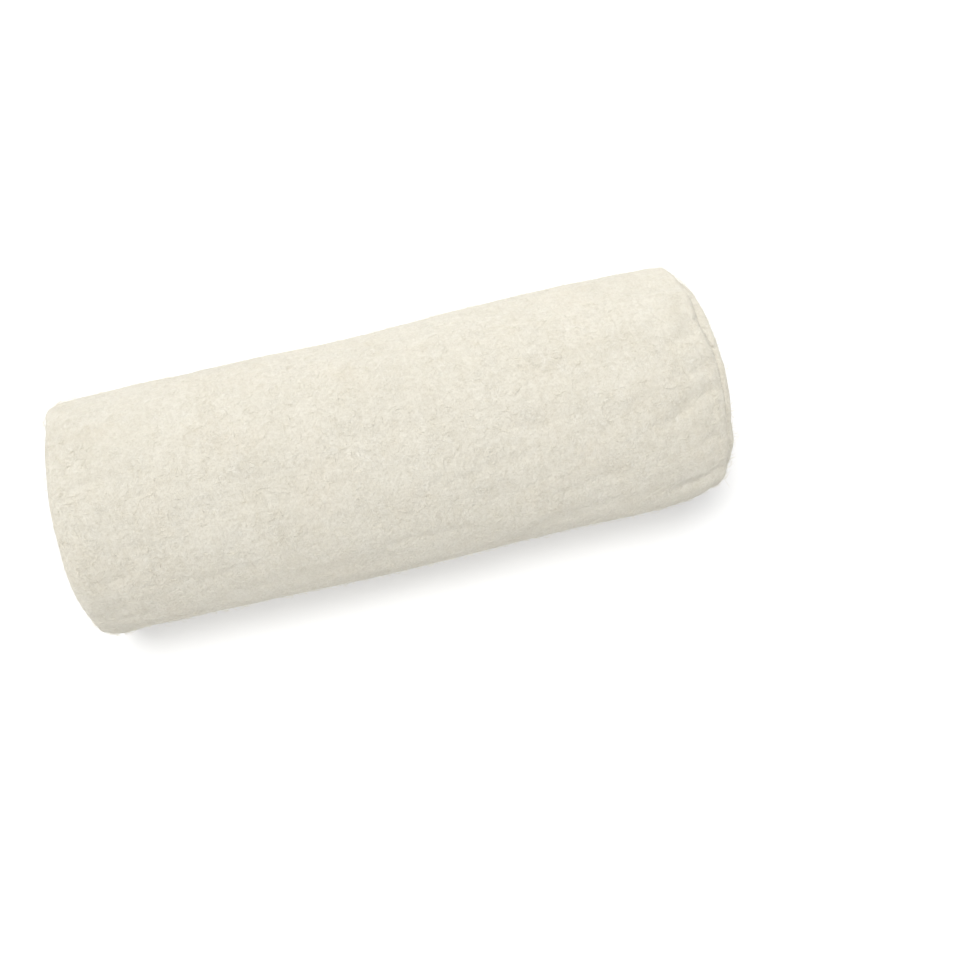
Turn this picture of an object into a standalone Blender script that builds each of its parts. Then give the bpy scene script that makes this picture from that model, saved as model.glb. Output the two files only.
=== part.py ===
"""A crib-size sheet of needled bamboo batting, folded in thirds along its length and rolled up.

Metres, +Z up, +X along the roll. The origin is under the middle of the roll, on the surface that it lies on.
The folded sheet is one band, three layers thick. Its inner end is doubled over, and it is then wound in half turns
about two centres, up the front (-Y), over the top and down the back (+Y), where its tail lies.
"""

from collections import namedtuple
from math import cos, pi, radians, sin, sqrt

import bmesh
import bpy

# The sheet, as it was cut.
SHEET_WIDTH = 1.140  # folded in thirds across this
LAYERS = 3
LAYER_THICKNESS = 0.00305  # one layer, pressed by the winding

# The band that is wound.
BAND_WIDTH = SHEET_WIDTH / LAYERS
BAND_THICKNESS = LAYERS * LAYER_THICKNESS
HALF_THICKNESS = BAND_THICKNESS / 2
TURN_GAP = 0.0004
PITCH = BAND_THICKNESS + TURN_GAP

# The winding. Angles run from the back (+Y) over the top (+Z).
HALF_TURNS = 14  # even ones are on the front, odd ones on the back
FIRST_FOLD = 0.003  # the straight run between the two centres
TAIL_ANGLE = radians(-15.0)  # where the last half turn ends
TAIL_LENGTH = 0.030  # how far back from its end the tail thins
TAIL_THINNING = 0.20  # share of its thickness that the tail's end has lost

# The flat spot that the roll lies on.
FLAT_DEPTH = 0.0024

EDGE_SOFTNESS = 0.0026  # how far each turn's edge is rounded off
SIDE_OF_EDGE = 0.42  # share of the half thickness that stays at the very edge

COLLECTION = "roll_of_bamboo_batting"
CREAM = (0.745, 0.706, 0.598, 1.0)

# Sections across the band: how far along from its left edge, and the share by which the outermost turn
# is drawn in towards the axis there.
Station = namedtuple("Station", "along drawn_in")
STATIONS = (
    Station(along=0.000, drawn_in=0.020),
    Station(along=0.010, drawn_in=0.006),
    Station(along=0.030, drawn_in=0.000),
    Station(along=0.320, drawn_in=0.000),
    Station(along=0.345, drawn_in=0.006),
    Station(along=0.360, drawn_in=0.018),
    Station(along=0.371, drawn_in=0.040),
    Station(along=0.380, drawn_in=0.074),
)

# How far each turn's two edges lie in from the ends of the roll. The left end is nearly flat, and the
# right one is rounded off, with its outer turns drawn back from its inner ones.
TurnEdge = namedtuple("TurnEdge", "share_of_radius left right")
TURN_EDGES = (
    TurnEdge(share_of_radius=0.00, left=0.004, right=0.000),
    TurnEdge(share_of_radius=0.35, left=0.003, right=0.000),
    TurnEdge(share_of_radius=0.60, left=0.001, right=0.0008),
    TurnEdge(share_of_radius=0.75, left=0.000, right=0.0024),
    TurnEdge(share_of_radius=0.88, left=0.000, right=0.0056),
    TurnEdge(share_of_radius=1.00, left=0.001, right=0.0110),
)

# Sections along the winding: the tight inner half turns need fewer.
Step = namedtuple("Step", "before_half_turn degrees")
STEPS = (
    Step(before_half_turn=4, degrees=30),
    Step(before_half_turn=9, degrees=20),
    Step(before_half_turn=HALF_TURNS, degrees=10),
)

AXIS_HEIGHT = PITCH / 4  # the middle of the roll lies between its two centres
OUTER_RADIUS = (HALF_TURNS * PITCH + BAND_THICKNESS) / 2

Section = namedtuple("Section", "y z out_y out_z half")


def between(rows, key, at, value):
    """The column `value` of a table, read between its rows at `at` of the column `key`."""
    for low, high in zip(rows, rows[1:]):
        a, b = getattr(low, key), getattr(high, key)
        if at <= b:
            share = max(0.0, (at - a) / (b - a))
            return getattr(low, value) * (1 - share) + getattr(high, value) * share
    return getattr(rows[-1], value)


def half_turn(k):
    """Centre and radius of the middle of the band on half turn k."""
    on_front = k % 2 == 0
    centre = (-FIRST_FOLD / 2, PITCH / 2) if on_front else (FIRST_FOLD / 2, 0.0)
    return centre, (k + 1) * PITCH / 2


def sections():
    """The band's sections from its inner end to its tail: a point on its middle, its outward way, its half thickness."""
    found = []
    # The inner end is rounded off, and fills the bend of the first half turn on the back.
    for share in (0.96, 0.80, 0.45):
        half = HALF_THICKNESS * sqrt(1 - share**2)
        found.append(
            Section(FIRST_FOLD / 2 + share * HALF_THICKNESS, 0.0, 0.0, -1.0, half)
        )
    found.append(Section(FIRST_FOLD / 2, 0.0, 0.0, -1.0, HALF_THICKNESS))
    for k in range(HALF_TURNS):
        (y, z), radius = half_turn(k)
        start = 1.5 * pi if k % 2 == 0 else 0.5 * pi
        end = start - pi if k < HALF_TURNS - 1 else TAIL_ANGLE
        step = radians(next(s.degrees for s in STEPS if k < s.before_half_turn))
        angles = [start]
        while angles[-1] - step > end + 1e-6:
            angles.append(angles[-1] - step)
        angles.append(end)
        for angle in angles:
            half = HALF_THICKNESS
            if k == HALF_TURNS - 1:
                to_tail = radius * (angle - TAIL_ANGLE)
                half *= 1 - TAIL_THINNING * max(0.0, 1 - to_tail / TAIL_LENGTH)
            # The thinned tail stays on the turn under it, so it loses its thickness on the outside.
            at = radius - (HALF_THICKNESS - half)
            found.append(
                Section(
                    y + at * cos(angle),
                    z + at * sin(angle),
                    cos(angle),
                    sin(angle),
                    half,
                )
            )
    return found


def profile():
    """The band's cross-section, as (distance from the left edge, share of the half thickness, outwards)."""
    inset = EDGE_SOFTNESS
    sides = [min(max(s.along, inset), BAND_WIDTH - inset) for s in STATIONS]
    outer = [(along, 1.0) for along in sides]
    inner = [(along, -1.0) for along in reversed(sides)]
    right = [(BAND_WIDTH, SIDE_OF_EDGE), (BAND_WIDTH, -SIDE_OF_EDGE)]
    left = [(0.0, -SIDE_OF_EDGE), (0.0, SIDE_OF_EDGE)]
    return outer + right + inner + left


def underside(y):
    """Height of the roll's underside at this y, before its weight presses it flat."""
    back_centre, back_radius = half_turn(HALF_TURNS - 3)
    front_centre, front_radius = half_turn(HALF_TURNS - 2)
    if y > back_centre[0]:
        centre, radius = back_centre, back_radius + HALF_THICKNESS
    elif y < front_centre[0]:
        centre, radius = front_centre, front_radius + HALF_THICKNESS
    else:
        return back_centre[1] - back_radius - HALF_THICKNESS
    return centre[1] - sqrt(max(0.0, radius**2 - (y - centre[0]) ** 2))


REST_HEIGHT = underside(0.0) + FLAT_DEPTH


def pressed(y, z):
    """The height after the roll's weight has pressed its underside flat, fading to nothing at the axis."""
    lowest = underside(y)
    if z >= AXIS_HEIGHT or lowest >= REST_HEIGHT:
        return z
    depth = (AXIS_HEIGHT - z) / (AXIS_HEIGHT - lowest)
    return z + (REST_HEIGHT - lowest) * depth**2


def place(along, out, section):
    """World point of a profile point at one section of the band."""
    y = section.y + out * section.half * section.out_y
    z = section.z + out * section.half * section.out_z
    share = min(1.0, sqrt(y**2 + (z - AXIS_HEIGHT) ** 2) / OUTER_RADIUS)
    left = between(TURN_EDGES, "share_of_radius", share, "left")
    right = between(TURN_EDGES, "share_of_radius", share, "right")
    x = left + along * (BAND_WIDTH - left - right) / BAND_WIDTH - BAND_WIDTH / 2
    z = pressed(y, z)
    kept = 1 - between(STATIONS, "along", along, "drawn_in") * share**2
    return x, y * kept, AXIS_HEIGHT + (z - AXIS_HEIGHT) * kept


def extruded(mesh, ring):
    """A new ring of points, each joined to its own point of the last ring by the sides between them."""
    edges = [mesh.edges.get((a, b)) for a, b in zip(ring, ring[1:] + ring[:1])]
    made = bmesh.ops.extrude_edge_only(mesh, edges=edges)["geom"]
    new = {item for item in made if isinstance(item, bmesh.types.BMVert)}
    return [
        next(other for e in old.link_edges if (other := e.other_vert(old)) in new)
        for old in ring
    ]


def wound_band(name):
    """The whole band as one closed mesh: its profile, extruded section by section along the winding."""
    outline = profile()
    first, *others = sections()
    mesh = bmesh.new()
    ring = [mesh.verts.new(place(along, out, first)) for along, out in outline]
    inner_end = [mesh.edges.new((a, b)) for a, b in zip(ring, ring[1:] + ring[:1])]
    for section in others:
        ring = extruded(mesh, ring)
        for vert, (along, out) in zip(ring, outline):
            vert.co = place(along, out, section)
    tail = [mesh.edges.get((a, b)) for a, b in zip(ring, ring[1:] + ring[:1])]
    bmesh.ops.edgenet_fill(mesh, edges=inner_end)
    bmesh.ops.edgenet_fill(mesh, edges=tail)
    bmesh.ops.recalc_face_normals(mesh, faces=mesh.faces)

    # The origin goes under the middle of the roll.
    low = [min(v.co[i] for v in mesh.verts) for i in range(3)]
    high = [max(v.co[i] for v in mesh.verts) for i in range(3)]
    middle = ((low[0] + high[0]) / 2, (low[1] + high[1]) / 2, low[2])
    bmesh.ops.translate(mesh, vec=[-c for c in middle], verts=mesh.verts)

    data = bpy.data.meshes.new(name)
    mesh.to_mesh(data)
    mesh.free()
    return bpy.data.objects.new(name, data)


def batting_material():
    material = bpy.data.materials.new("cream_batting")
    material.use_nodes = True
    shader = material.node_tree.nodes["Principled BSDF"]
    shader.inputs["Base Color"].default_value = CREAM
    shader.inputs["Roughness"].default_value = 0.95
    shader.inputs["Metallic"].default_value = 0.0
    return material


def main():
    for obj in list(bpy.data.objects):
        bpy.data.objects.remove(obj, do_unlink=True)
    collection = bpy.data.collections.new(COLLECTION)
    bpy.context.scene.collection.children.link(collection)

    roll = wound_band("batting_roll")
    roll.data.materials.append(batting_material())
    collection.objects.link(roll)
    roll.data.shade_smooth()
    roll.data.set_sharp_from_angle(angle=radians(40))


main()
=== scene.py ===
"""The looks of a roll of bamboo batting: one needled sheet, folded in thirds and rolled up, lying on a pale floor.

Metres, +Z up, +X along the roll. The sheet is one closed mesh. It is made flat, as three runs joined by two folds,
and each of its points is then placed on the winding and moved with the soft unevenness of the cloth.
"""

from math import cos, degrees, pi, radians, sin, sqrt

import bpy
import numpy as np
from mathutils import Matrix, Vector
from mathutils.bvhtree import BVHTree


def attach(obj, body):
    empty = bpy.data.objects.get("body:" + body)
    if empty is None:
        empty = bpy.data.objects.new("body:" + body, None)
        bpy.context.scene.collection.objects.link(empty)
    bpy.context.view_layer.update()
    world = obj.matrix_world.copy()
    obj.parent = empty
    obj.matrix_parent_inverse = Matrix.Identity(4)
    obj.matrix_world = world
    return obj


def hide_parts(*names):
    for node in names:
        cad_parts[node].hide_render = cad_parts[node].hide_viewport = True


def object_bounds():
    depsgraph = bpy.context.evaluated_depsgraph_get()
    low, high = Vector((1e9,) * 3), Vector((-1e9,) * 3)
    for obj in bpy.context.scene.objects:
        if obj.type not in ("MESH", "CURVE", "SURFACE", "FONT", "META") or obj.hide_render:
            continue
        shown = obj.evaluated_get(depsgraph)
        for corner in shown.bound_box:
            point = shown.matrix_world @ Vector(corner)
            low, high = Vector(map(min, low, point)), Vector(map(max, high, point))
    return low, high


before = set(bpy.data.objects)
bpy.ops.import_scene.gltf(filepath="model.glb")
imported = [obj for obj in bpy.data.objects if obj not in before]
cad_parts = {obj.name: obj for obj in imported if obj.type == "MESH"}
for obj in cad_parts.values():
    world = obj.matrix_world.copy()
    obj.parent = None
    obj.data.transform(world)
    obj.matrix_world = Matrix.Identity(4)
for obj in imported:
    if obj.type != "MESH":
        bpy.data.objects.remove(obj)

CAD_LOW, CAD_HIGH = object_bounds()

# ---------------------------------------------------------------------------------------------------------------
# Sizes, the same as the modelled solid's
# ---------------------------------------------------------------------------------------------------------------
SHEET_WIDTH, SHEET_LENGTH = 1.140, 1.520
LAYER = 0.00305  # from the middle of one layer to the middle of the next
BAND_WIDTH = SHEET_WIDTH / 3
BAND_THICKNESS = 3 * LAYER
PITCH = BAND_THICKNESS + 0.0004
FIRST_FOLD = 0.003
HALF_TURNS = 14
TAIL_ANGLE = radians(-15.0)
FLAT_DEPTH = 0.0024
AXIS_HEIGHT = PITCH / 4
OUTER_RADIUS = (HALF_TURNS * PITCH + BAND_THICKNESS) / 2

HALF_LAYER = 0.00146  # half of one layer's own thickness
PRESS_SOFTNESS = 0.0011

# Where each turn's two edges lie, in from the ends of the roll, by the turn's share of the radius.
EDGE_ROWS = np.array([
    # share, left, right
    (0.00, 0.0045, 0.0000),
    (0.35, 0.0032, 0.0000),
    (0.60, 0.0012, 0.0008),
    (0.75, 0.0002, 0.0024),
    (0.88, 0.0002, 0.0056),
    (1.00, 0.0012, 0.0110),
])
# How far the outermost turn is drawn in towards the axis, by the distance from the left edge.
DRAWN_ROWS = np.array([
    # along, share drawn in
    (0.000, 0.048),
    (0.003, 0.030),
    (0.009, 0.012),
    (0.018, 0.003),
    (0.034, 0.000),
    (0.320, 0.000),
    (0.345, 0.004),
    (0.360, 0.013),
    (0.371, 0.031),
    (0.380, 0.062),
])


def smooth_rows(rows, at, column=1):
    """A table's column read at `at`, through a smooth curve that never passes beyond its rows."""
    x, y = rows[:, 0], rows[:, column]
    step = np.diff(y) / np.diff(x)
    before, after = np.r_[0, step], np.r_[step, 0]
    level = before * after <= 0
    slope = np.where(level, 0, 2 * before * after / np.where(level, 1, before + after))
    i = np.clip(np.searchsorted(x, at) - 1, 0, len(x) - 2)
    h = x[i + 1] - x[i]
    t = np.clip((at - x[i]) / h, 0, 1)
    return (
        (2 * t**3 - 3 * t**2 + 1) * y[i]
        + (t**3 - 2 * t**2 + t) * h * slope[i]
        + (-2 * t**3 + 3 * t**2) * y[i + 1]
        + (t**3 - t**2) * h * slope[i + 1]
    )


# ---------------------------------------------------------------------------------------------------------------
# Smooth noise, the same on each run
# ---------------------------------------------------------------------------------------------------------------
LATTICE = np.random.RandomState(41).uniform(-1, 1, (8, 64, 64, 64)).astype(np.float32)


def noise(points, size, kind=0):
    """Smooth noise from about -1 to 1 at these points (n, 3), with bumps about `size` metres across."""
    p = np.asarray(points, float) / size + 7.31 * (kind + 1)
    cell = np.floor(p).astype(int)
    f = p - cell
    f = f * f * f * (f * (f * 6 - 15) + 10)
    total = np.zeros(len(p))
    table = LATTICE[kind % 8]
    for dx in (0, 1):
        for dy in (0, 1):
            for dz in (0, 1):
                w = (
                    (f[:, 0] if dx else 1 - f[:, 0])
                    * (f[:, 1] if dy else 1 - f[:, 1])
                    * (f[:, 2] if dz else 1 - f[:, 2])
                )
                total += w * table[
                    (cell[:, 0] + dx) % 64, (cell[:, 1] + dy) % 64, (cell[:, 2] + dz) % 64
                ]
    return total


def line_noise(at, size, kind=0):
    """Smooth noise along one line."""
    at = np.atleast_1d(np.asarray(at, float))
    return noise(np.stack([at, np.zeros_like(at) + 0.37 * size, np.zeros_like(at)], 1), size, kind)


# ---------------------------------------------------------------------------------------------------------------
# The winding
# ---------------------------------------------------------------------------------------------------------------
def half_turn(k):
    centre = (-FIRST_FOLD / 2, PITCH / 2) if k % 2 == 0 else (FIRST_FOLD / 2, 0.0)
    return centre, (k + 1) * PITCH / 2


# Lengths along the middle of the band at which each run and each half turn starts.
RUN_STARTS, ARC_STARTS = [], []
_at = 0.0
for _k in range(HALF_TURNS):
    RUN_STARTS.append(_at)
    _at += FIRST_FOLD
    ARC_STARTS.append(_at)
    _span = pi if _k < HALF_TURNS - 1 else pi / 2 - TAIL_ANGLE
    _at += _span * half_turn(_k)[1]
WOUND_LENGTH = _at
RUN_STARTS, ARC_STARTS = np.array(RUN_STARTS), np.array(ARC_STARTS)


def along_winding(s):
    """Point (y, z) on the middle of the band at each length s from its inner end, and its outward way."""
    s = np.asarray(s, float)
    k = np.clip(np.searchsorted(RUN_STARTS, s, side="right") - 1, 0, HALF_TURNS - 1)
    front = k % 2 == 0
    radius = (k + 1) * PITCH / 2
    cy = np.where(front, -FIRST_FOLD / 2, FIRST_FOLD / 2)
    cz = np.where(front, PITCH / 2, 0.0)
    start = np.where(front, 1.5 * pi, 0.5 * pi)
    on_arc = s >= ARC_STARTS[k]
    angle = start - np.where(on_arc, (s - ARC_STARTS[k]) / radius, 0.0)
    ny, nz = np.cos(angle), np.sin(angle)
    y, z = cy + radius * ny, cz + radius * nz
    # On a run, the point lies short of the half turn that follows it.
    short = np.where(on_arc, 0.0, ARC_STARTS[k] - s)
    y = y + np.where(front, short, -short)
    return y, z, ny, nz


def underside(y):
    """Height of the roll's underside, before its weight presses it flat."""
    back, front = 6 * PITCH + BAND_THICKNESS / 2, 6.5 * PITCH + BAND_THICKNESS / 2
    low = np.full_like(y, -back)
    on_back, on_front = y > FIRST_FOLD / 2, y < -FIRST_FOLD / 2
    low[on_back] = -np.sqrt(np.maximum(back**2 - (y[on_back] - FIRST_FOLD / 2) ** 2, 0))
    low[on_front] = PITCH / 2 - np.sqrt(
        np.maximum(front**2 - (y[on_front] + FIRST_FOLD / 2) ** 2, 0)
    )
    return low


REST_HEIGHT = float(underside(np.zeros(1))[0]) + FLAT_DEPTH
# The solid's box is centred on the origin, which gives the step from the winding's own axis.
SHIFT_Y = CAD_LOW.y - (-FIRST_FOLD / 2 - 6.5 * PITCH - BAND_THICKNESS / 2)
SHIFT_Z = -REST_HEIGHT


# ---------------------------------------------------------------------------------------------------------------
# Soft troughs and ridges, placed on the skin
# ---------------------------------------------------------------------------------------------------------------
# Each runs from (x, angle) to (x, angle), with its width and its depth in millimetres. Angles are in degrees from
# the back over the top, so 90 is the top and 180 the front. A negative depth is a ridge.
CREASES = np.array([
    # x0,   angle0, x1,   angle1, width, depth
    # Broad soft hollows.
    (-150,  108,    -20,  104,    11.0,  1.0),
    (-60,   130,     95,  134,    10.0,  0.8),
    (30,    76,     150,  83,     11.0,  1.0),
    (-175,  62,     -70,  57,     10.0,  0.8),
    (-120,  154,     10,  157,    11.0,  0.9),
    (60,    160,    160,  152,    9.0,   0.8),
    (-186,  22,     -120, 25,     10.0,  0.9),
    (-100,  18,      40,  12,     11.0,  0.9),
    (50,    30,     140,  34,     10.0,  0.8),
    (-150,  190,    -30,  186,    10.0,  0.9),
    (10,    202,    130,  205,    10.0,  0.9),
    # Narrow creases, which wander.
    (-168,  116,    -112, 121,    4.0,   0.75),
    (-118,  93,     -52,  97,     4.0,   0.70),
    (-84,   112,    -22,  108,    3.6,   0.65),
    (-40,   88,      34,  92,     4.2,   0.80),
    (8,     121,     84,  116,    4.0,   0.80),
    (52,    100,    112,  104,    3.6,   0.65),
    (72,    140,    132,  136,    4.2,   0.75),
    (-30,   146,     44,  150,    4.0,   0.70),
    (-142,  138,    -78,  142,    4.2,   0.80),
    (-184,  84,     -140, 88,     4.6,   0.95),
    (-184,  131,    -152, 128,    4.4,   0.90),
    (-184,  104,    -158, 106,    4.0,   0.70),
    (-184,  158,    -146, 161,    4.6,   0.80),
    (-100,  70,     -36,  67,     4.0,   0.70),
    (0,     60,      66,  64,     4.2,   0.75),
    (96,    60,     140,  55,     4.0,   0.65),
    (-64,   172,     20,  175,    4.2,   0.75),
    (90,    178,    150,  182,    4.2,   0.75),
    (-170,  44,     -118, 40,     4.2,   0.80),
    (-20,   40,      52,  37,     4.2,   0.75),
    (-130,  6,      -60,  3,      4.2,   0.75),
    (20,    -6,      96,  -4,     4.2,   0.70),
    (-176,  -24,    -110, -28,    4.4,   0.80),
    (-50,   -38,     30,  -35,    4.4,   0.75),
    (60,    220,    130,  224,    4.4,   0.75),
    (-120,  214,    -40,  218,    4.4,   0.75),
    # Slanting ones, where the sheet was pulled as it was wound.
    (-12,   132,     30,  112,    4.0,   0.55),
    (100,   118,    138,  100,    4.0,   0.65),
    (-148,  76,     -118, 94,     4.0,   0.55),
    (-70,   34,     -30,  52,     4.0,   0.55),
    (36,    182,     70,  164,    4.0,   0.55),
    # The rounded end's gathers, which run in over the shoulder.
    (132,   120,    184,  104,    5.6,   2.1),
    (150,   98,     184,  92,     4.2,   1.2),
    (140,   157,    182,  152,    6.4,   2.4),
    (156,   134,    184,  130,    4.4,   1.2),
    (150,   76,     184,  82,     5.6,   1.7),
    (158,   62,     184,  60,     4.4,   1.2),
    (142,   40,     182,  48,     6.6,   1.6),
    (146,   180,    182,  172,    6.2,   1.7),
    (160,   195,    184,  193,    4.6,   1.2),
    (150,   12,     182,  7,      6.4,   0.6),
    (158,   -8,     184,  -10,    4.8,   1.2),
    (150,   214,    182,  219,    6.6,   1.4),
    (150,  -62,     182,  -54,    6.6,   1.2),
    (152,  -34,     184,  -30,    5.0,   1.3),
    (166,   78,     188,  66,     9.0,   3.0),
    (118,   101,    150,  93,     8.0,   -0.8),
    (134,   140,    168,  136,    7.0,   -0.7),
    (130,   64,     166,  68,     7.0,   -0.7),
])


def crease_depth(x, angle):
    """How far the skin sinks at these points, in metres: soft troughs that fade at both ends."""
    total = np.zeros(len(x))
    arc = OUTER_RADIUS * 0.985
    for row in CREASES:
        x0, a0, x1, a1, width, depth = row
        x0, x1, width, depth = x0 / 1000, x1 / 1000, width / 1000, depth / 1000
        d = np.array([x1 - x0, radians(a1 - a0) * arc])
        length = np.hypot(*d)
        away = (angle - radians(a0) + pi) % (2 * pi) - pi
        px, pa = x - x0, away * arc
        # The trough wanders a little from a straight line.
        t = np.clip((px * d[0] + pa * d[1]) / length**2, 0, 1)
        side = (px * d[1] - pa * d[0]) / length
        side = side + 0.0020 * np.sin(t * 5.1 + a0) * np.sin(pi * t) + 0.0007 * np.sin(length * t * 210 + a1)
        past = np.maximum(np.abs((px * d[0] + pa * d[1]) / length - length / 2) - length / 2, 0)
        fade = np.minimum(1, np.minimum(t, 1 - t) / 0.28)
        if x1 > 0.18:
            fade = np.minimum(1, t / 0.45)
        fade = fade * fade * (3 - 2 * fade)
        total += depth * fade * np.exp(-((side / width) ** 2) * 1.6 - (past / width) ** 2)
    return total


# ---------------------------------------------------------------------------------------------------------------
# From the flat sheet to the roll
# ---------------------------------------------------------------------------------------------------------------
def place(s, along, height, left_in, right_in):
    """World points of the sheet. s is the length along the band, `along` the place between the band's two edges from
    0 to 1, height the distance out from its middle, and left_in and right_in how far its own edges lie in."""
    py, pz, ny, nz = along_winding(s)
    y, z = py + height * ny, pz + height * nz
    share = np.minimum(1.0, np.hypot(y, z - AXIS_HEIGHT) / OUTER_RADIUS)
    left = smooth_rows(EDGE_ROWS, share, 1) + left_in
    right = smooth_rows(EDGE_ROWS, share, 2) + right_in
    x = -BAND_WIDTH / 2 + left + along * (BAND_WIDTH - left - right)

    # The weight of the roll.
    low = underside(y)
    pressed = REST_HEIGHT - low
    pressed = (pressed + np.sqrt(pressed**2 + PRESS_SOFTNESS**2)) / 2  # the flat spot ends softly
    depth = np.clip((AXIS_HEIGHT - z) / np.maximum(AXIS_HEIGHT - low, 1e-6), 0, 1.2)
    z = z + pressed * depth**2

    # The ends are drawn in, the right one more on the front than on the back.
    front = 1 - np.where(along > 0.5, 0.45, 0.0) * y / np.maximum(np.hypot(y, z - AXIS_HEIGHT), 1e-6)
    kept = 1 - smooth_rows(DRAWN_ROWS, along * BAND_WIDTH) * front * share**2
    y, z = y * kept, AXIS_HEIGHT + (z - AXIS_HEIGHT) * kept
    y = y * (1 + 0.015 * x / (BAND_WIDTH / 2))  # the roll is a little wider towards its right end

    # The soft unevenness of the whole roll, which moves neighbouring turns together.
    angle = np.arctan2(z - AXIS_HEIGHT, y)
    radius = np.hypot(y, z - AXIS_HEIGHT)
    depth_in = np.maximum(OUTER_RADIUS - radius, 0)
    p = np.stack([x, y, z], 1)
    off_floor = soft_step((z - REST_HEIGHT) / 0.012)
    end = soft_step((np.abs(x) - 0.120) / 0.070)
    move = 0.00115 * noise(p * (0.45, 1, 1), 0.055, 0) + 0.00055 * noise(p * (0.6, 1, 1), 0.024, 1)
    move += end * (0.0009 * noise(p, 0.030, 2) + 0.00040 * noise(p, 0.014, 3))
    move -= 1.3 * crease_depth(x, angle) * np.exp(-depth_in / 0.013)
    skin = np.exp(-depth_in / 0.004)
    move += skin * skin_relief(p, end)
    move *= off_floor * np.clip(radius / 0.020, 0, 1)
    y, z = y + move * np.cos(angle), z + move * np.sin(angle)
    # The turns near the core are out of round, and its eye lies a little off the middle.
    core = np.exp(-((radius / 0.030) ** 2))
    y += core * (0.0016 + 0.0007 * noise(p, 0.020, 6))
    z += core * (-0.0011 + 0.0007 * noise(p, 0.020, 7))
    x += end * 0.0004 * noise(p, 0.012, 6)
    return np.stack([x, y + SHIFT_Y, z + SHIFT_Z], 1)


def soft_step(t):
    """0 up to t = 0 and 1 from t = 1, with a soft slope between."""
    t = np.clip(t, 0, 1)
    return t * t * (3 - 2 * t)


def skin_relief(p, end):
    """How far the skin stands out: wadding lumps, and fine wrinkles that come and go, mostly lengthwise."""
    lumps = 0.00026 * noise(p * (0.75, 1, 1), 0.0125, 4) + 0.00016 * noise(p, 0.0062, 5)
    # A wrinkle lies where its noise crosses nought.
    long_lines = 1 - np.minimum(np.abs(noise(p * (0.20, 1, 1), 0.017, 2)) / 0.24, 1)
    patches = soft_step((noise(p * (0.7, 1, 1), 0.062, 3) + 0.10) / 0.55)
    cross_lines = 1 - np.minimum(np.abs(noise(p * (1, 0.28, 0.28), 0.014, 7)) / 0.24, 1)
    cross_patches = soft_step((noise(p, 0.050, 6) - 0.05) / 0.5) * (0.35 + 0.65 * end)
    return lumps - 0.00042 * long_lines**2 * patches - 0.00034 * cross_lines**2 * cross_patches


# Where the outermost turn's edge stands open at an end of the roll, and by how much. The cut layer on the left opens on
# its own, past the fold under it.
OPEN_PLACES = np.array([
    # right end (1) or left (0), outermost layer alone (1) or the whole turn (0), angle, half width, height in mm
    (1, 0, 72,  30, 3.8),
    (1, 0, 128, 16, 0.9),
    (1, 0, 163, 24, 1.6),
    (1, 0, 20,  18, 1.2),
    (1, 0, 226, 26, 1.3),
    (0, 0, 118, 34, 1.5),
    (0, 0, 40,  22, 0.9),
    (0, 0, 196, 30, 1.2),
    (0, 1, 150, 26, 1.3),
    (0, 1, 84,  18, 0.9),
    (0, 1, 24,  20, 1.0),
    (0, 1, 228, 24, 1.1),
])


def opened(s, along, run):
    """How far out these points stand because the outermost turn's edge gapes there, in metres."""
    _, _, ny, nz = along_winding(s)
    angle = np.degrees(np.arctan2(nz, ny))
    last_turn = soft_step((s - (WOUND_LENGTH - 2 * pi * OUTER_RADIUS * 0.93)) / 0.02)
    total = np.zeros(len(s))
    for right, alone, centre, half_width, height in OPEN_PLACES:
        away = np.abs((angle - centre + 180) % 360 - 180)
        place_share = soft_step(1 - away / (1.5 * half_width))
        edge = along if right else 1 - along
        edge_share = soft_step((edge - (0.965 if alone else 0.930)) / (0.035 if alone else 0.070))
        total += height / 1000 * place_share * edge_share * ((run == 3) if alone else 1.0)
    return total * last_turn


# A cut edge's rounded side: how far each point stands past the edge, and its share of the half thickness.
CUT_EDGE = [(0.0006, 0.84), (0.0012, 0.40), (0.0012, -0.40), (0.0006, -0.84)]


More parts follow.
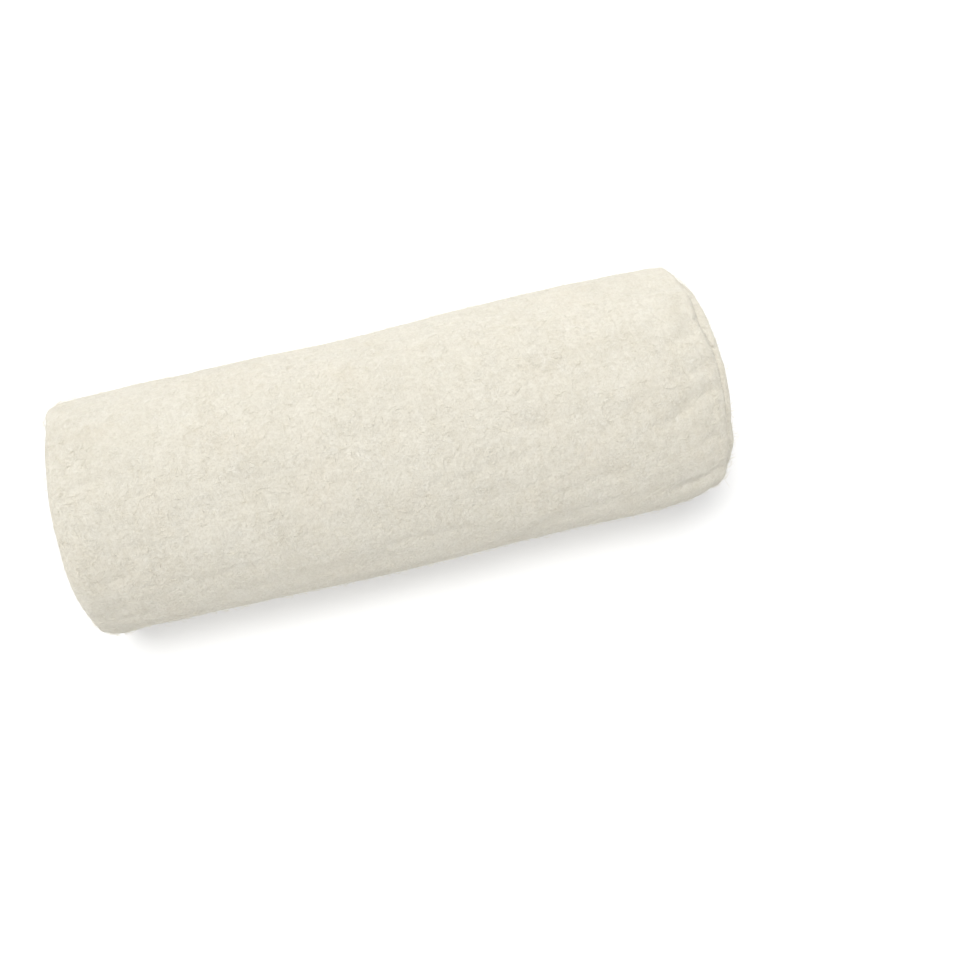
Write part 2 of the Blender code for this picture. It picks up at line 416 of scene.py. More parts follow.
def ring(dense):
    """One section of the folded sheet, going round it once: rows of (run, along, dx, height, face).

    The outermost run (3) starts at its cut edge on the left, doubles back at the right end into the middle run (2),
    and that at the left end into the innermost one (1), which ends at its cut edge on the right.
    along is from 0 to 1 between the folds' centres or cut edges, dx is metres past there."""
    near_left = [0.0, 0.002, 0.007, 0.022]
    near_right = [0.0, 0.002, 0.007, 0.015, 0.030, 0.060]
    coarse = sorted({*(a / BAND_WIDTH for a in near_left), 0.50, *(1 - a / BAND_WIDTH for a in near_right)})
    fine = sorted({*coarse, *np.round(np.linspace(0.004, 0.376, 187) / BAND_WIDTH, 5)})
    c, r = HALF_LAYER, LAYER / 2
    rows = []
    skin = [a for a in fine if min(abs(a - b) for b in coarse) > 0.0016 or a in coarse] if dense else coarse
    rows += [(3, a, 0.0, LAYER + c, 1) for a in skin]  # the skin, left to right
    for turn in (30, 60, 90, 120, 150):  # round the outside of the right fold
        rows.append((3, 1.0, (r + c) * sin(radians(turn)), LAYER / 2 + (r + c) * cos(radians(turn)), 2))
    rows += [(2, a, 0.0, -c, 0) for a in reversed(coarse)]  # under the middle run, right to left
    rows.append((2, 0.0, -(r - c), -LAYER / 2, 0))  # the bottom of the left fold
    rows += [(1, a, 0.0, -LAYER + c, 0) for a in coarse]  # over the innermost run, left to right
    for out, part in CUT_EDGE:  # its cut edge
        rows.append((1, 1.0, out, -LAYER + c * part, 2))
    rows += [(1, a, 0.0, -LAYER - c, 0) for a in reversed(coarse)]  # under it, right to left
    for turn in (150, 120, 90, 60, 30):  # round the outside of the left fold
        rows.append((1, 0.0, -(r + c) * sin(radians(turn)), -LAYER / 2 + (r + c) * cos(radians(turn)), 2))
    rows += [(2, a, 0.0, c, 0) for a in coarse]  # over the middle run, left to right
    rows.append((2, 1.0, r - c, LAYER / 2, 0))  # the bottom of the right fold
    rows += [(3, a, 0.0, LAYER - c, 0) for a in reversed(coarse)]  # under the outermost run, right to left
    for out, part in reversed(CUT_EDGE):  # its cut edge
        rows.append((3, 0.0, -out, LAYER + c * part, 2))
    return np.array(rows)


def columns():
    """Lengths along the band at which the sheet has a section: coarse ones, then the dense ones of the skin, which
    starts just under the tail, one turn before it."""
    inner, outer = [RUN_STARTS[0]], []
    for k in range(HALF_TURNS):
        radius = half_turn(k)[1]
        span = pi if k < HALF_TURNS - 1 else pi / 2 - TAIL_ANGLE
        bare = pi / 2 - TAIL_ANGLE - radians(8) if k == 11 else (0.0 if k > 11 else span)
        step = radians(15 if k < 3 else 7.5 if k < 6 else 5)
        count = int(round(bare / step)) if bare else 0
        inner.extend(ARC_STARTS[k] + radius * bare * i / count for i in range(count + (k < 11)))
        count = int(round((span - bare) / radians(1.6)))
        if k >= 11:
            outer.extend(
                ARC_STARTS[k] + radius * (bare + (span - bare) * i / count)
                for i in range(count + (k == HALF_TURNS - 1))
            )
    return np.array(inner), np.array(outer)


def zipped(a, ka, b, kb):
    """Triangles between two open lines of vertices with unlike counts, matched by their keys."""
    faces, i, j = [], 0, 0
    while i < len(a) - 1 or j < len(b) - 1:
        if j == len(b) - 1 or (i < len(a) - 1 and ka[i + 1] <= kb[j + 1]):
            faces.append((a[i], a[i + 1], b[j]))
            i += 1
        else:
            faces.append((a[i], b[j + 1], b[j]))
            j += 1
    return faces


def ring_keys(rows):
    """A growing key for each point of a ring, the same for like places on a dense and a coarse ring."""
    keys, last, base = [], None, 0.0
    for run, along, dx, height, face in rows:
        name = (int(run), round(height, 6) if face != 2 else -1, int(face))
        if name != last and last is not None:
            base += 2.0
        last = name
        keys.append(base)
    keys = np.array(keys)
    # Within a stretch the key grows with the place along it.
    for b in np.unique(keys):
        here = np.where(keys == b)[0]
        a = rows[here, 1]
        if len(here) > 1 and np.ptp(a) > 0:
            keys[here] += (a - a[0]) / (a[-1] - a[0])
        elif len(here) > 1:
            keys[here] += np.linspace(0, 1, len(here))
    return keys


def built_sheet():
    """Vertices, faces, and for each vertex its place on the flat sheet, as (across, along) in metres."""
    inner_s, outer_s = columns()
    c = HALF_LAYER
    # Past each end the layers round off: (distance past the end, share of the thickness left).
    rounding = [(0.45, 0.89), (0.80, 0.60), (0.98, 0.20)]
    stations = [(s, 1.0, False) for s in inner_s]
    stations = [(-d * c, share, False) for d, share in reversed(rounding)] + stations
    stations += [(s, 1.0, True) for s in outer_s]
    stations += [(WOUND_LENGTH + d * c, share, True) for d, share in rounding]
    rings = {False: ring(False), True: ring(True)}
    middles = {3: LAYER, 2: 0.0, 1: -LAYER}

    s_all, rows_all, share_all, firsts = [], [], [], []
    for s, share, dense in stations:
        rows = rings[dense]
        firsts.append(sum(len(r) for r in rows_all))
        rows_all.append(rows)
        s_all.append(np.full(len(rows), s))
        share_all.append(np.full(len(rows), share))
    counts = [len(r) for r in rows_all]
    rows = np.concatenate(rows_all)
    s, share = np.concatenate(s_all), np.concatenate(share_all)
    run, along, dx, height = rows[:, 0].astype(int), rows[:, 1], rows[:, 2], rows[:, 3].copy()

    # The layers' own edges wander along the winding.
    wander_left = 0.0016 * line_noise(s, 0.070, 0) + 0.0007 * line_noise(s, 0.023, 1)
    wander_right = 0.0016 * line_noise(s + 9, 0.065, 2) + 0.0007 * line_noise(s + 9, 0.021, 3)
    cut_left = 0.0018 + 0.0018 * line_noise(s + 20, 0.080, 4) + 0.0005 * line_noise(s, 0.011, 5)
    cut_right = 0.0022 + 0.0020 * line_noise(s + 30, 0.090, 5) + 0.0005 * line_noise(s, 0.010, 6)
    fold = LAYER / 2 + c
    # The whole band drifts a little to and fro as it is wound.
    drift = 0.0017 * line_noise(s + 110, 0.210, 7)
    wander_left, wander_right = wander_left + drift, wander_right - drift
    left_in = wander_left + np.where(run == 3, np.maximum(cut_left, 0.0), fold)
    right_in = wander_right + np.where(run == 1, np.maximum(cut_right, 0.0), fold)
    # The right fold's outside belongs to run 3 and the left one's to run 1, whose other ends are cut.
    left_in = np.where(run == 3, wander_left + np.maximum(cut_left, 0) + 0.0008, left_in)
    right_in = np.where(run == 1, wander_right + np.maximum(cut_right, 0) + 0.0008, right_in)

    # Towards the ends each layer is softer and less even, and leans a little in or out.
    mid = np.array([middles[r] for r in run])
    to_end = soft_step(1 - np.minimum(along, 1 - along) / 0.09)
    layer_noise = np.select([run == 3, run == 2], [line_noise(s + 40, 0.034, 0), line_noise(s + 50, 0.030, 1)],
                            line_noise(s + 60, 0.032, 2))
    thinner = 1 - to_end * (0.09 + 0.09 * layer_noise)
    lean = to_end * (0.00022 * line_noise(s + 70, 0.041, 3) + 0.00016 * line_noise(s + 80, 0.017, 4))
    # The rounded ends of the layers.
    beyond = share < 1
    in_fold = (rows[:, 4] == 2) & (np.abs(dx) > 0.0009) | (np.abs(height - mid) > c + 1e-6)
    centre = np.where(in_fold, np.where(run == 3, LAYER / 2, -LAYER / 2), mid)
    centre = np.where(np.abs(np.abs(height) - LAYER / 2) < 1e-9, height, centre)
    height = np.where(beyond & ~in_fold, mid + (height - mid) * share, height)
    round_in = np.where(beyond, (1 - share) * c, 0)
    outer_fold = in_fold & (np.abs(dx) > 1e-9)
    height = np.where(beyond & outer_fold, centre + (height - centre) * (1 - (1 - share) * 0.45), height)
    left_in = left_in + round_in * (along < 0.02)
    right_in = right_in + round_in * (along > 0.98)

    own_middle = np.where(in_fold, np.where(run == 3, LAYER / 2, -LAYER / 2), mid)
    height = np.where(in_fold, height, own_middle + (height - own_middle) * thinner) + lean

    # At the inner end the middle layer reaches furthest, and at the tail the three layers end unevenly.
    x_flat = (along - 0.5) * BAND_WIDTH
    to_start = np.clip(1 - np.maximum(s, 0) / 0.010, 0, 1)
    reach = np.where(run == 2, 0.0040, 0.0021)
    tail = np.clip(1 - np.maximum(WOUND_LENGTH - s, 0) / 0.030, 0, 1)
    tail_shift = np.select(
        [run == 3, run == 2],
        [
            -0.0072 + 0.0022 * line_noise(x_flat, 0.060, 0) + 0.0006 * line_noise(x_flat, 0.015, 1),
            -0.0034 + 0.0016 * line_noise(x_flat + 3, 0.070, 2) + 0.0005 * line_noise(x_flat, 0.013, 3),
        ],
        0.0010 + 0.0016 * line_noise(x_flat + 6, 0.065, 4) + 0.0005 * line_noise(x_flat, 0.014, 5),
    )
    # A fold joins two layers, so at the ends of the roll their shifts run together.
    joined_right = -0.0052 * np.ones_like(s)
    joined_left = -0.0010 * np.ones_like(s)
    near_right = np.clip((along - 0.93) / 0.05, 0, 1)
    near_left = np.clip((0.07 - along) / 0.05, 0, 1)
    tail_shift = np.where(run != 1, tail_shift * (1 - near_right) + joined_right * near_right, tail_shift)
    tail_shift = np.where(run != 3, tail_shift * (1 - near_left) + joined_left * near_left, tail_shift)
    reach = np.where(run != 1, reach * (1 - near_right) + 0.0030 * near_right, reach)
    reach = np.where(run != 3, reach * (1 - near_left) + 0.0030 * near_left, reach)
    s_used = s - reach * to_start + tail_shift * tail**2
    # The tail is pressed a little thinner, and lifts a little where nothing holds it.
    thin = 1 - 0.10 * tail
    lift = (0.0016 + 0.0016 * line_noise(x_flat, 0.100, 6)) * tail**2
    height = (height + BAND_THICKNESS / 2) * thin - BAND_THICKNESS / 2 + lift

    alongs = along + dx / BAND_WIDTH
    height = height + opened(s, alongs, run)
    points = place(s_used, alongs, height, left_in, right_in)

    faces, face_station, on_skin = [], [], []
    for i in range(len(stations) - 1):
        a, b, n, m = firsts[i], firsts[i + 1], counts[i], counts[i + 1]
        if n == m:
            for j in range(n):
                k = (j + 1) % n
                faces.append((a + j, a + k, b + k, b + j))
                on_skin.append(stations[i][2] and rows_all[i][j, 4] == 1 and rows_all[i][k, 4] == 1)
        else:
            one = [a + j for j in range(n)] + [a]
            two = [b + j for j in range(m)] + [b]
            key_one = list(ring_keys(rows_all[i])) + [1e6]
            key_two = list(ring_keys(rows_all[i + 1])) + [1e6]
            faces += zipped(one, key_one, two, key_two)
        on_skin += [False] * (len(faces) - len(on_skin))
        face_station += [i] * (len(faces) - len(face_station))
    for i, flip in ((0, False), (len(stations) - 1, True)):
        faces += [f if not flip else f[::-1] for f in end_cap(rows_all[i], firsts[i])]
        face_station += [i] * (len(faces) - len(face_station))
    on_skin += [False] * (len(faces) - len(on_skin))
    page = page_places(rings, [s for s, _, _ in stations], [dense for _, _, dense in stations], alongs)

    flat_across = np.select(
        [run == 3, run == 2], [alongs * BAND_WIDTH, (2 - alongs) * BAND_WIDTH], (2 + alongs) * BAND_WIDTH
    )
    return points, faces, np.stack([flat_across, s_used], 1), page(faces, face_station, on_skin)


def page_places(rings, station_s, dense, alongs):
    """Lays the sheet out on a square page for pictures of it. The skin that shows has one large rectangle. The rest
    has two narrow columns, in which the folds and cut edges that show at the ends of the roll are widest."""
    skin_from, skin_to = 0.004, 0.832
    columns_at, column_width = (0.843, 0.923), 0.072
    low, high = 0.004, 0.996
    # How far round the ring each point comes, with folds and cut edges full, the strips next to them less, and the
    # wide hidden faces hardly at all.
    coarse = rings[False]
    after = np.roll(coarse, -1, axis=0)
    step = np.abs(after[:, 1] - coarse[:, 1]) * BAND_WIDTH + np.hypot(
        after[:, 2] - coarse[:, 2], after[:, 3] - coarse[:, 3]
    )
    edge = (coarse[:, 4] == 2) | (after[:, 4] == 2)
    middle = (coarse[:, 1] + after[:, 1]) / 2
    near = np.minimum(middle, 1 - middle) * BAND_WIDTH < 0.006
    step = step * np.where(edge, 1.0, np.where(near, 0.35, 0.006))
    round_it = np.r_[0, np.cumsum(step)] / step.sum()
    keys = np.r_[ring_keys(coarse), 1e6]
    across = {False: round_it[:-1], True: np.interp(ring_keys(rings[True]), keys, round_it)}

    across_all = np.concatenate([across[d] for d in dense])
    station = np.concatenate([np.full(len(across[d]), i) for i, d in enumerate(dense)])
    station_s = np.array(station_s)
    s_all = station_s[station]
    half = int(np.searchsorted(station_s, station_s[0] + (station_s[-1] - station_s[0]) / 2))
    skin_start = station_s[dense.index(True)]

    def page(faces, face_station, on_skin):
        counts = np.array([len(f) for f in faces])
        verts = np.concatenate([np.array(f) for f in faces])
        face = np.repeat(np.arange(len(faces)), counts)
        skin = np.array(on_skin)[face]
        in_second = np.array(face_station)[face] >= half
        u = across_all[verts]
        # A face that closes the ring ends at its far side.
        first = np.r_[0, np.cumsum(counts)[:-1]]
        widest = np.maximum.reduceat(u, first) - np.minimum.reduceat(u, first)
        u = np.where((widest[face] > 0.5) & (u < 0.5), np.minimum(u + 1, 1.0), u)
        begin = np.where(in_second, station_s[half], station_s[0])
        finish = np.where(in_second, station_s[-1], station_s[half])
        u = np.where(in_second, columns_at[1], columns_at[0]) + u * column_width
        v = (s_all[verts] - begin) / (finish - begin)
        u = np.where(skin, skin_from + np.clip(alongs[verts], 0, 1) * (skin_to - skin_from), u)
        v = np.where(skin, (s_all[verts] - skin_start) / (station_s[-1] - skin_start), v)
        return np.stack([u, low + v * (high - low)], 1)

    return page


def end_cap(rows, first):
    """Closes the sheet's end: the strip between its two faces, from the cut edge of run 3 to that of run 1."""
    n = len(rows)
    index = np.arange(n)
    run, height, face = rows[:, 0].astype(int), rows[:, 3], rows[:, 4].astype(int)
    # Side A runs from the skin to the top of run 1, and side B the other way, from under run 1 back to run 3.
    cut_one = [i for i in index if run[i] == 1 and face[i] == 2 and rows[i, 2] > 0]
    cut_three = [i for i in index if run[i] == 3 and face[i] == 2 and rows[i, 2] < 0]
    a = list(range(0, cut_one[1] + 1))
    b = list(range(cut_three[1], cut_one[2] - 1, -1))
    # A ring starts on the skin, so the cut edge's upper points come before it.
    a = [cut_three[2], cut_three[3]] + a

    def key(i):
        r, along = run[i], rows[i, 1] + rows[i, 2] / BAND_WIDTH * 0.5
        return {3: along, 2: 4 - along, 1: 4 + along}[r] if r != 2 else 2.2 + (1 - along)

    def keys(side):
        found = np.array([key(i) for i in side], float)
        return np.maximum.accumulate(found)

    made = zipped([first + i for i in a], keys(a), [first + i for i in b], keys(b))
    return made


def sheet_object(name):
    points, faces, flat, page = built_sheet()
    mesh = bpy.data.meshes.new(name)
    mesh.from_pydata(points.tolist(), [], faces)
    mesh.update()
    obj = bpy.data.objects.new(name, mesh)
    bpy.context.scene.collection.objects.link(obj)
    # The cloth's own coordinates, in metres on the flat sheet.
    layer = mesh.uv_layers.new(name="cloth")
    loops = np.empty(len(mesh.loops), np.int32)
    mesh.loops.foreach_get("vertex_index", loops)
    layer.data.foreach_set("uv", flat[loops].astype(np.float32).ravel())
    mesh.uv_layers.new(name="OFBake").data.foreach_set("uv", page.astype(np.float32).ravel())
    mesh.shade_smooth()
    return obj


# ---------------------------------------------------------------------------------------------------------------
# Loose fibres
# ---------------------------------------------------------------------------------------------------------------
FIBRES = 9000
FIBRE_WIDTH = 0.00017
FIBRE_LENGTHS = (0.0030, 0.0085)
FIBRE_STEPS = 4  # rings along each fibre


def fibre_roots(roll, count, rng):
    """Points on the sheet where nothing lies over it, with their normals: the skin, and the ends of the turns."""
    mesh = roll.data
    mesh.calc_loop_triangles()
    places = np.empty(len(mesh.vertices) * 3)
    mesh.vertices.foreach_get("co", places)
    places = places.reshape(-1, 3)
    corners = np.empty(len(mesh.loop_triangles) * 3, np.int32)
    mesh.loop_triangles.foreach_get("vertices", corners)
    a, b, c = places[corners.reshape(-1, 3).T]
    across = np.cross(b - a, c - a)
    area = np.linalg.norm(across, axis=1) / 2
    normal = across / np.maximum(2 * area, 1e-12)[:, None]
    middle = (a + b + c) / 3
    radius = np.hypot(middle[:, 1], middle[:, 2] - CAD_HIGH.z / 2)
    at_end = np.abs(middle[:, 0]) > 0.174
    weight = area * np.where(at_end, 3.0, np.where(radius > 0.052, 1.0, 0.0))
    picked = rng.choice(len(area), size=count * 9, p=weight / weight.sum())
    one, two = rng.uniform(size=(2, len(picked)))
    over = one + two > 1
    one, two = np.where(over, 1 - one, one), np.where(over, 1 - two, two)
    roots = a[picked] + (b - a)[picked] * one[:, None] + (c - a)[picked] * two[:, None]
    tree = BVHTree.FromPolygons([Vector(p) for p in places], [tuple(p.vertices) for p in mesh.polygons])
    kept = []
    for i in range(len(picked)):
        n = Vector(normal[picked[i]])
        start = Vector(roots[i]) + n * 0.0004
        if roots[i][2] > 0.0012 and tree.ray_cast(start, n, 0.0035)[0] is None:
            kept.append(i)
            if len(kept) == count:
                break
    return roots[kept], normal[picked[kept]]


def fibre_object(name, roll):
    """Thin three-sided fibres, curved and lying nearly flat, each closed at both ends."""
    rng = np.random.RandomState(23)
    roots, normals = fibre_roots(roll, FIBRES, rng)
    n = len(roots)
    any_way = rng.normal(size=(n, 3)) + (0.8, 0, 0)
    flat = any_way - normals * (any_way * normals).sum(1)[:, None]
    flat /= np.linalg.norm(flat, axis=1)[:, None]
    side = np.cross(normals, flat)
    length = rng.uniform(*FIBRE_LENGTHS, n) * rng.uniform(0.6, 1.0, n)
    arch = rng.uniform(0.04, 0.26, n)
    tip = np.where(rng.uniform(size=n) < 0.45, rng.uniform(0.06, 0.36, n), 0.0)
    curl = rng.uniform(-0.55, 0.55, n)
    width = FIBRE_WIDTH * rng.uniform(0.7, 1.15, n)
    rings = []
    for t in np.linspace(0, 1, FIBRE_STEPS):
        bow = 4 * t * (1 - t)
        centre = (
            roots
            + flat * (length * t * (1 - 0.15 * np.abs(curl) * bow))[:, None]
            + side * (length * curl * bow * 0.5 + length * curl * 0.3 * t**2)[:, None]
            + normals * (length * (arch * bow + tip * t**2) - 0.00010 * (1 - t))[:, None]
        )
        thick = width * (1.0 if 0.1 < t < 0.9 else 0.55) / 2
        for turn in (90, 210, 330):
            rings.append(
                centre
                + normals * (thick * sin(radians(turn)))[:, None]
                + side * (thick * cos(radians(turn)))[:, None]
            )
    points = np.stack(rings, 1)  # fibre, ring and side, xyz
    points[:, :, 2] = np.maximum(points[:, :, 2], 0.0003)
    per = FIBRE_STEPS * 3
    faces = []
    for i in range(FIBRE_STEPS - 1):
        for j in range(3):
            k = (j + 1) % 3
            faces.append((3 * i + j, 3 * i + k, 3 * i + 3 + k, 3 * i + 3 + j))
    caps = [(2, 1, 0), tuple(range(per - 3, per))]
    base = np.arange(n) * per
    polygons = np.concatenate([base[:, None] + np.array(f)[None] for f in faces]).tolist()
    polygons += np.concatenate([base[:, None] + np.array(f)[None] for f in caps]).tolist()
    mesh = bpy.data.meshes.new(name)
    mesh.from_pydata(points.reshape(-1, 3).tolist(), [], polygons)
    mesh.update()
    obj = bpy.data.objects.new(name, mesh)
    bpy.context.scene.collection.objects.link(obj)
    return obj


# ---------------------------------------------------------------------------------------------------------------
# Materials
# ---------------------------------------------------------------------------------------------------------------
class Tree:
    """Short calls for building a material's nodes."""

    def __init__(self, material):
        material.use_nodes = True
        self.nodes, self.links = material.node_tree.nodes, material.node_tree.links

    def add(self, kind, inputs=None, **settings):
        node = self.nodes.new(kind)
        for key, value in settings.items():
            setattr(node, key, value)
        for key, value in (inputs or {}).items():
            socket = node.inputs[key]
            if isinstance(value, bpy.types.NodeSocket):
                self.links.new(value, socket)
            else:
                socket.default_value = value
        return node

    def noise(self, vector, scale, detail=3.0, roughness=0.55, distortion=0.0):
        return self.add(
            "ShaderNodeTexNoise",
            {"Vector": vector, "Scale": scale, "Detail": detail, "Roughness": roughness, "Distortion": distortion},
        ).outputs["Fac"]

    def math(self, operation, a, b=0.0, c=None):
        node = self.add("ShaderNodeMath", {0: a, 1: b}, operation=operation)
        if c is not None:
            node.inputs[2].default_value = c
        return node.outputs[0]

    def spread(self, value, low, high, to_low=0.0, to_high=1.0):
        node = self.add(
            "ShaderNodeMapRange",
            {"Value": value, "From Min": low, "From Max": high, "To Min": to_low, "To Max": to_high},
            interpolation_type="SMOOTHSTEP",
        )
        return node.outputs["Result"]

    def mix(self, factor, a, b):
        node = self.add("ShaderNodeMix", data_type="RGBA")
        for socket, value in ((node.inputs[0], factor), (node.inputs[6], a), (node.inputs[7], b)):
            if isinstance(value, bpy.types.NodeSocket):
                self.links.new(value, socket)
            else:
                socket.default_value = value
        return node.outputs[2]


def batting_material():
    """Needled cotton-like fibre, by places on the flat sheet (u across it and v along it, in metres) and in space."""
    material = bpy.data.materials.new("batting")
    t = Tree(material)
    shader = t.nodes["Principled BSDF"]
    where = t.add("ShaderNodeTexCoord").outputs["Object"]
    cloth = t.add("ShaderNodeUVMap", uv_map="cloth").outputs["UV"]

    # Single fibres and wisps, lying in every direction: thin light lines where a stretched noise crosses its middle.
    wisps = []
    for turn, across, along, twist in ((18, 900, 95, 1.6), (-47, 1050, 120, 1.9), (84, 980, 105, 1.7), (132, 1250, 150, 2.1)):
        turned = t.add(
            "ShaderNodeMapping", {"Vector": cloth, "Rotation": (0, 0, radians(turn))}, vector_type="TEXTURE"
        ).outputs[0]
        stretched = t.add("ShaderNodeVectorMath", {0: turned, 1: (across, along, 1)}, operation="MULTIPLY").outputs[0]
        field = t.noise(stretched, 1.0, 2.0, 0.5, twist * 0.35)
        off_middle = t.math("ABSOLUTE", t.math("SUBTRACT", field, 0.5))
        wisps.append(t.spread(off_middle, 0.0, 0.075, 1.0, 0.0))
    fibres = t.math("MAXIMUM", t.math("MAXIMUM", wisps[0], wisps[1]), t.math("MAXIMUM", wisps[2], wisps[3]))
    streaks = t.add("ShaderNodeVectorMath", {0: cloth, 1: (420, 26, 1)}, operation="MULTIPLY").outputs[0]
    streaks = t.noise(streaks, 1.0, 3.0, 0.55, 0.3)

    # Curls of fibre that the needles left: thin lines along the contours of a swirled noise, in some places only.
    swirl = t.noise(where, 165, 2.0, 0.55, 1.9)
    curls = t.spread(t.math("ABSOLUTE", t.math("SUBTRACT", swirl, 0.5)), 0.0, 0.040, 1.0, 0.0)
    curls = t.math("MULTIPLY", curls, t.spread(t.noise(where, 75, 2, 0.5, 0.3), 0.42, 0.62))

    # Colour: pale cream, with faint warm and grey clouds, denser cottony tufts, thin places and wisps.
    clouds = t.spread(t.noise(where, 17, 3, 0.55, 0.5), 0.34, 0.66)
    blush = t.spread(t.noise(where, 31, 2, 0.5, 0.4), 0.46, 0.72)
    patches = t.spread(t.noise(where, 92, 4, 0.6, 1.1), 0.36, 0.66)
    tufts = t.spread(t.noise(where, 300, 4, 0.62, 1.6), 0.38, 0.64)
    grain = t.spread(t.noise(where, 1500, 3, 0.6, 0.8), 0.30, 0.70)
    base = t.mix(clouds, (0.690, 0.648, 0.540, 1), (0.756, 0.718, 0.616, 1))
    base = t.mix(t.math("MULTIPLY", blush, 0.50), base, (0.752, 0.684, 0.562, 1))
    base = t.mix(t.math("MULTIPLY", patches, 0.52), base, (0.812, 0.780, 0.688, 1))
    base = t.mix(t.math("MULTIPLY", tufts, 0.54), base, (0.606, 0.560, 0.460, 1))
    base = t.mix(t.math("MULTIPLY", t.spread(streaks, 0.38, 0.64), 0.20), base, (0.820, 0.788, 0.696, 1))
    base = t.mix(t.math("MULTIPLY", grain, 0.16), base, (0.550, 0.504, 0.402, 1))
    base = t.mix(t.math("MULTIPLY", fibres, 0.30), base, (0.898, 0.870, 0.786, 1))
    base = t.mix(t.math("MULTIPLY", curls, 0.42), base, (0.906, 0.880, 0.800, 1))
    t.links.new(base, shader.inputs["Base Color"])

    # Surface: wadding lumps, tufts, the needles' small dimples, streaks and fibres.
    dimples = t.add("ShaderNodeTexVoronoi", {"Vector": cloth, "Scale": 430.0, "Randomness": 0.85}, voronoi_dimensions="2D")
    dimples = t.spread(dimples.outputs["Distance"], 0.05, 0.62)
    height = t.math("MULTIPLY", t.noise(where, 170, 3, 0.55, 0.6), 0.00120)
    height = t.math("ADD", height, t.math("MULTIPLY", t.noise(where, 480, 4, 0.62, 1.4), 0.00066))
    height = t.math("ADD", height, t.math("MULTIPLY", curls, 0.00013))
    height = t.math("ADD", height, t.math("MULTIPLY", dimples, 0.00010))
    height = t.math("ADD", height, t.math("MULTIPLY", streaks, 0.00022))
    height = t.math("ADD", height, t.math("MULTIPLY", fibres, 0.00007))
    height = t.math("ADD", height, t.math("MULTIPLY", t.noise(where, 1700, 3, 0.6, 0.6), 0.00012))
    bump = t.add("ShaderNodeBump", {"Height": height, "Strength": 0.9, "Distance": 1.0})
    t.links.new(bump.outputs["Normal"], shader.inputs["Normal"])

    shader.inputs["Roughness"].default_value = 0.95
    shader.inputs["Specular IOR Level"].default_value = 0.15
    shader.inputs["Sheen Weight"].default_value = 0.20
    shader.inputs["Sheen Roughness"].default_value = 0.55
    shader.inputs["Sheen Tint"].default_value = (1.0, 0.97, 0.90, 1.0)
    return material


def fibre_material():
    """Single fibres, of one pale cream colour with a soft sheen."""
    material = bpy.data.materials.new("batting_fibre")
    t = Tree(material)
    shader = t.nodes["Principled BSDF"]
    shader.inputs["Base Color"].default_value = (0.800, 0.764, 0.668, 1.0)
    shader.inputs["Roughness"].default_value = 0.80
    shader.inputs["Specular IOR Level"].default_value = 0.25
    shader.inputs["Sheen Weight"].default_value = 0.30
    shader.inputs["Sheen Roughness"].default_value = 0.50
    shader.inputs["Sheen Tint"].default_value = (1.0, 0.98, 0.93, 1.0)
    return material


def floor_material():
    """A white studio table that glows a little: painted light, which keeps the shadows on it faint."""
    material = bpy.data.materials.new("pale_floor")
    t = Tree(material)
    shader = t.nodes["Principled BSDF"]
    shader.inputs["Base Color"].default_value = (0.58, 0.58, 0.58, 1)
    shader.inputs["Roughness"].default_value = 0.9
    shader.inputs["Specular IOR Level"].default_value = 0.1
    # The floor's glow is painted light, which brightens the shadows that fall on it.
    shader.inputs["Emission Color"].default_value = (1, 1, 1, 1)
    shader.inputs["Emission Strength"].default_value = 0.42
    return material


def add_world():
    """A studio's white surround: bright near the horizon and softer above it."""
    world = bpy.data.worlds.new("studio")
    bpy.context.scene.world = world
    world.use_nodes = True
    nodes, links = world.node_tree.nodes, world.node_tree.links
    way = nodes.new("ShaderNodeTexCoord")
    parts = nodes.new("ShaderNodeSeparateXYZ")
    ramp = nodes.new("ShaderNodeValToRGB")
    links.new(way.outputs["Generated"], parts.inputs[0])
    links.new(parts.outputs["Z"], ramp.inputs["Fac"])
    ramp.color_ramp.interpolation = "EASE"
    low, high = ramp.color_ramp.elements
    low.position, low.color = 0.17, (1.05, 1.05, 1.05, 1)
    high.position, high.color = 0.38, (0.27, 0.274, 0.282, 1)
    background = nodes["Background"]
    links.new(ramp.outputs["Color"], background.inputs["Color"])
    background.inputs["Strength"].default_value = 1.0


# ---------------------------------------------------------------------------------------------------------------
# The stage
# ---------------------------------------------------------------------------------------------------------------
FRAME_PIXELS = 960
PIXEL = 0.1405 / 239.7  # metres at the roll's axis for each pixel of the picture
DISTANCE = 0.85  # from the camera to the roll's axis
ELEVATION = radians(79.0)
ROLL_IN_PICTURE = radians(13.45)  # the axis rises this much to the right
FOOT_X = -0.035  # the camera stands square to the roll here
SHIFT_X = 0.03
CENTRE_AT = (394.6, 448.3)  # the picture point of the roll's middle


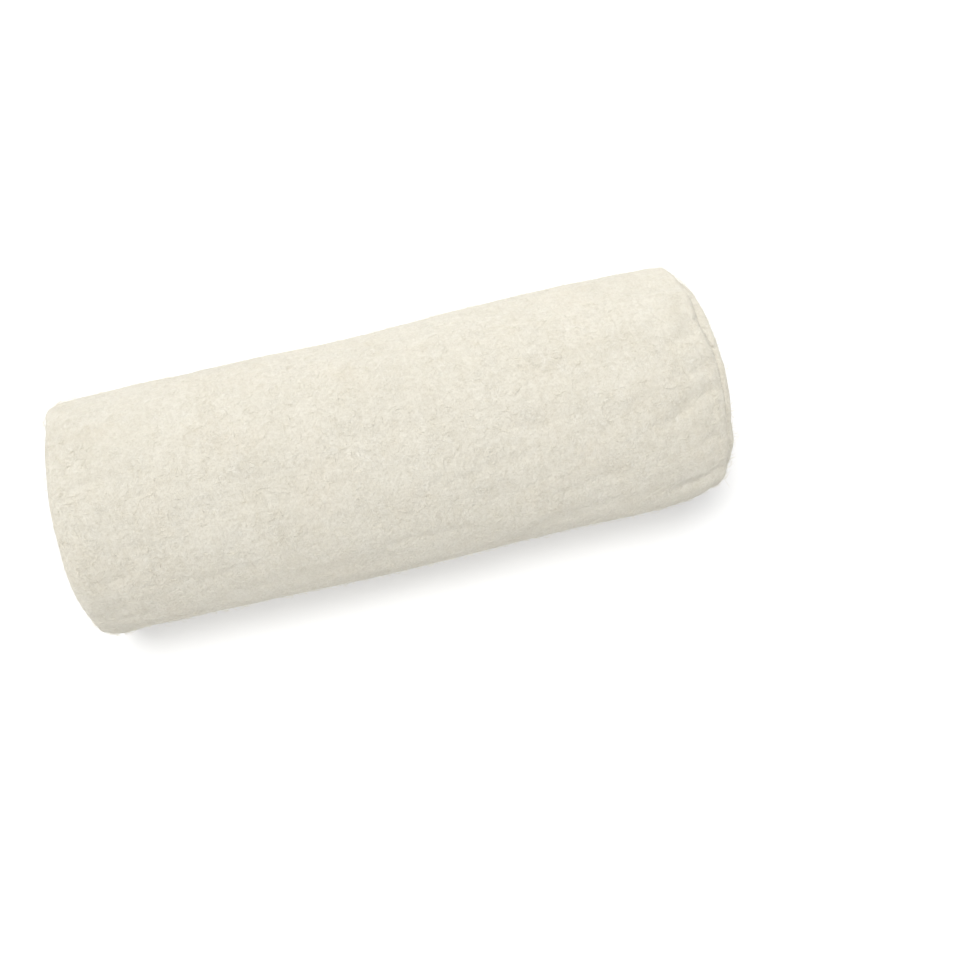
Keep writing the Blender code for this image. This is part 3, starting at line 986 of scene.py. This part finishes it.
def add_camera():
    data = bpy.data.cameras.new("camera")
    camera = bpy.data.objects.new("camera", data)
    bpy.context.scene.collection.objects.link(camera)
    bpy.context.scene.camera = camera
    middle = Vector((0.0, 0.0, 0.064))
    camera.location = Vector((FOOT_X, -cos(ELEVATION) * DISTANCE, middle.z + sin(ELEVATION) * DISTANCE))
    back = (camera.location - middle).normalized()
    right = Vector((0, 1, 0)).cross(back).normalized()
    up = back.cross(right)
    # The picture is turned, so that the roll's axis rises to the right.
    c, s = cos(ROLL_IN_PICTURE), sin(ROLL_IN_PICTURE)
    right, up = right * c - up * s, right * s + up * c
    square = Matrix((right, up, back)).transposed()
    # The camera is turned a little aside, which puts the roll's middle at its own picture point.
    focus = DISTANCE / PIXEL
    aside = Vector((
        CENTRE_AT[0] - FRAME_PIXELS / 2 + SHIFT_X * FRAME_PIXELS,
        FRAME_PIXELS / 2 - CENTRE_AT[1],
        -focus,
    ))
    turn = Vector((0, 0, -1)).rotation_difference(aside).to_matrix()
    camera.rotation_euler = (square @ turn.inverted()).to_euler()
    data.sensor_width = 36.0
    data.lens = 36.0 * focus / FRAME_PIXELS
    data.shift_x = SHIFT_X
    data.clip_start, data.clip_end = 0.01, 50
    data.dof.use_dof = False


def add_area(name, at, look_at, size, power, colour=(1, 1, 1)):
    data = bpy.data.lights.new(name, "AREA")
    data.shape, data.size, data.size_y = "RECTANGLE", size[0], size[1]
    data.energy, data.color = power, colour
    light = bpy.data.objects.new(name, data)
    bpy.context.scene.collection.objects.link(light)
    light.location = at
    way = Vector(look_at) - Vector(at)
    light.rotation_euler = way.to_track_quat("-Z", "Y").to_euler()


def add_stage():
    size = 30.0
    mesh = bpy.data.meshes.new("floor")
    mesh.from_pydata([(-size, -size, 0), (size, -size, 0), (size, size, 0), (-size, size, 0)], [], [(0, 1, 2, 3)])
    floor = bpy.data.objects.new("floor", mesh)
    bpy.context.scene.collection.objects.link(floor)
    mesh.materials.append(floor_material())
    add_world()
    # The main light is wide and far, nearly overhead, and a weaker one comes from the back.
    data = bpy.data.lights.new("overhead", "SUN")
    data.energy, data.angle, data.color = 2.55, radians(22), (1.0, 0.995, 0.98)
    light = bpy.data.objects.new("overhead", data)
    bpy.context.scene.collection.objects.link(light)
    light.location = (-0.3, 0.3, 1.4)
    light.rotation_euler = Vector((0.18, -0.10, -1.0)).to_track_quat("-Z", "Y").to_euler()
    add_area("back", (0.55, 1.25, 0.72), (0, 0, 0.06), (0.6, 0.6), 3.6)
    scene = bpy.context.scene
    scene.view_settings.view_transform = "Standard"
    scene.view_settings.look = "None"


# ---------------------------------------------------------------------------------------------------------------
# The scene
# ---------------------------------------------------------------------------------------------------------------
roll = sheet_object("batting_sheet_rolled")
roll.data.materials.append(batting_material())
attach(roll, "root")
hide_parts("batting_roll")

fibres = fibre_object("batting_fibres", roll)
fibres.data.materials.append(fibre_material())
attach(fibres, "root")

add_camera()
add_stage()

bpy.context.view_layer.update()
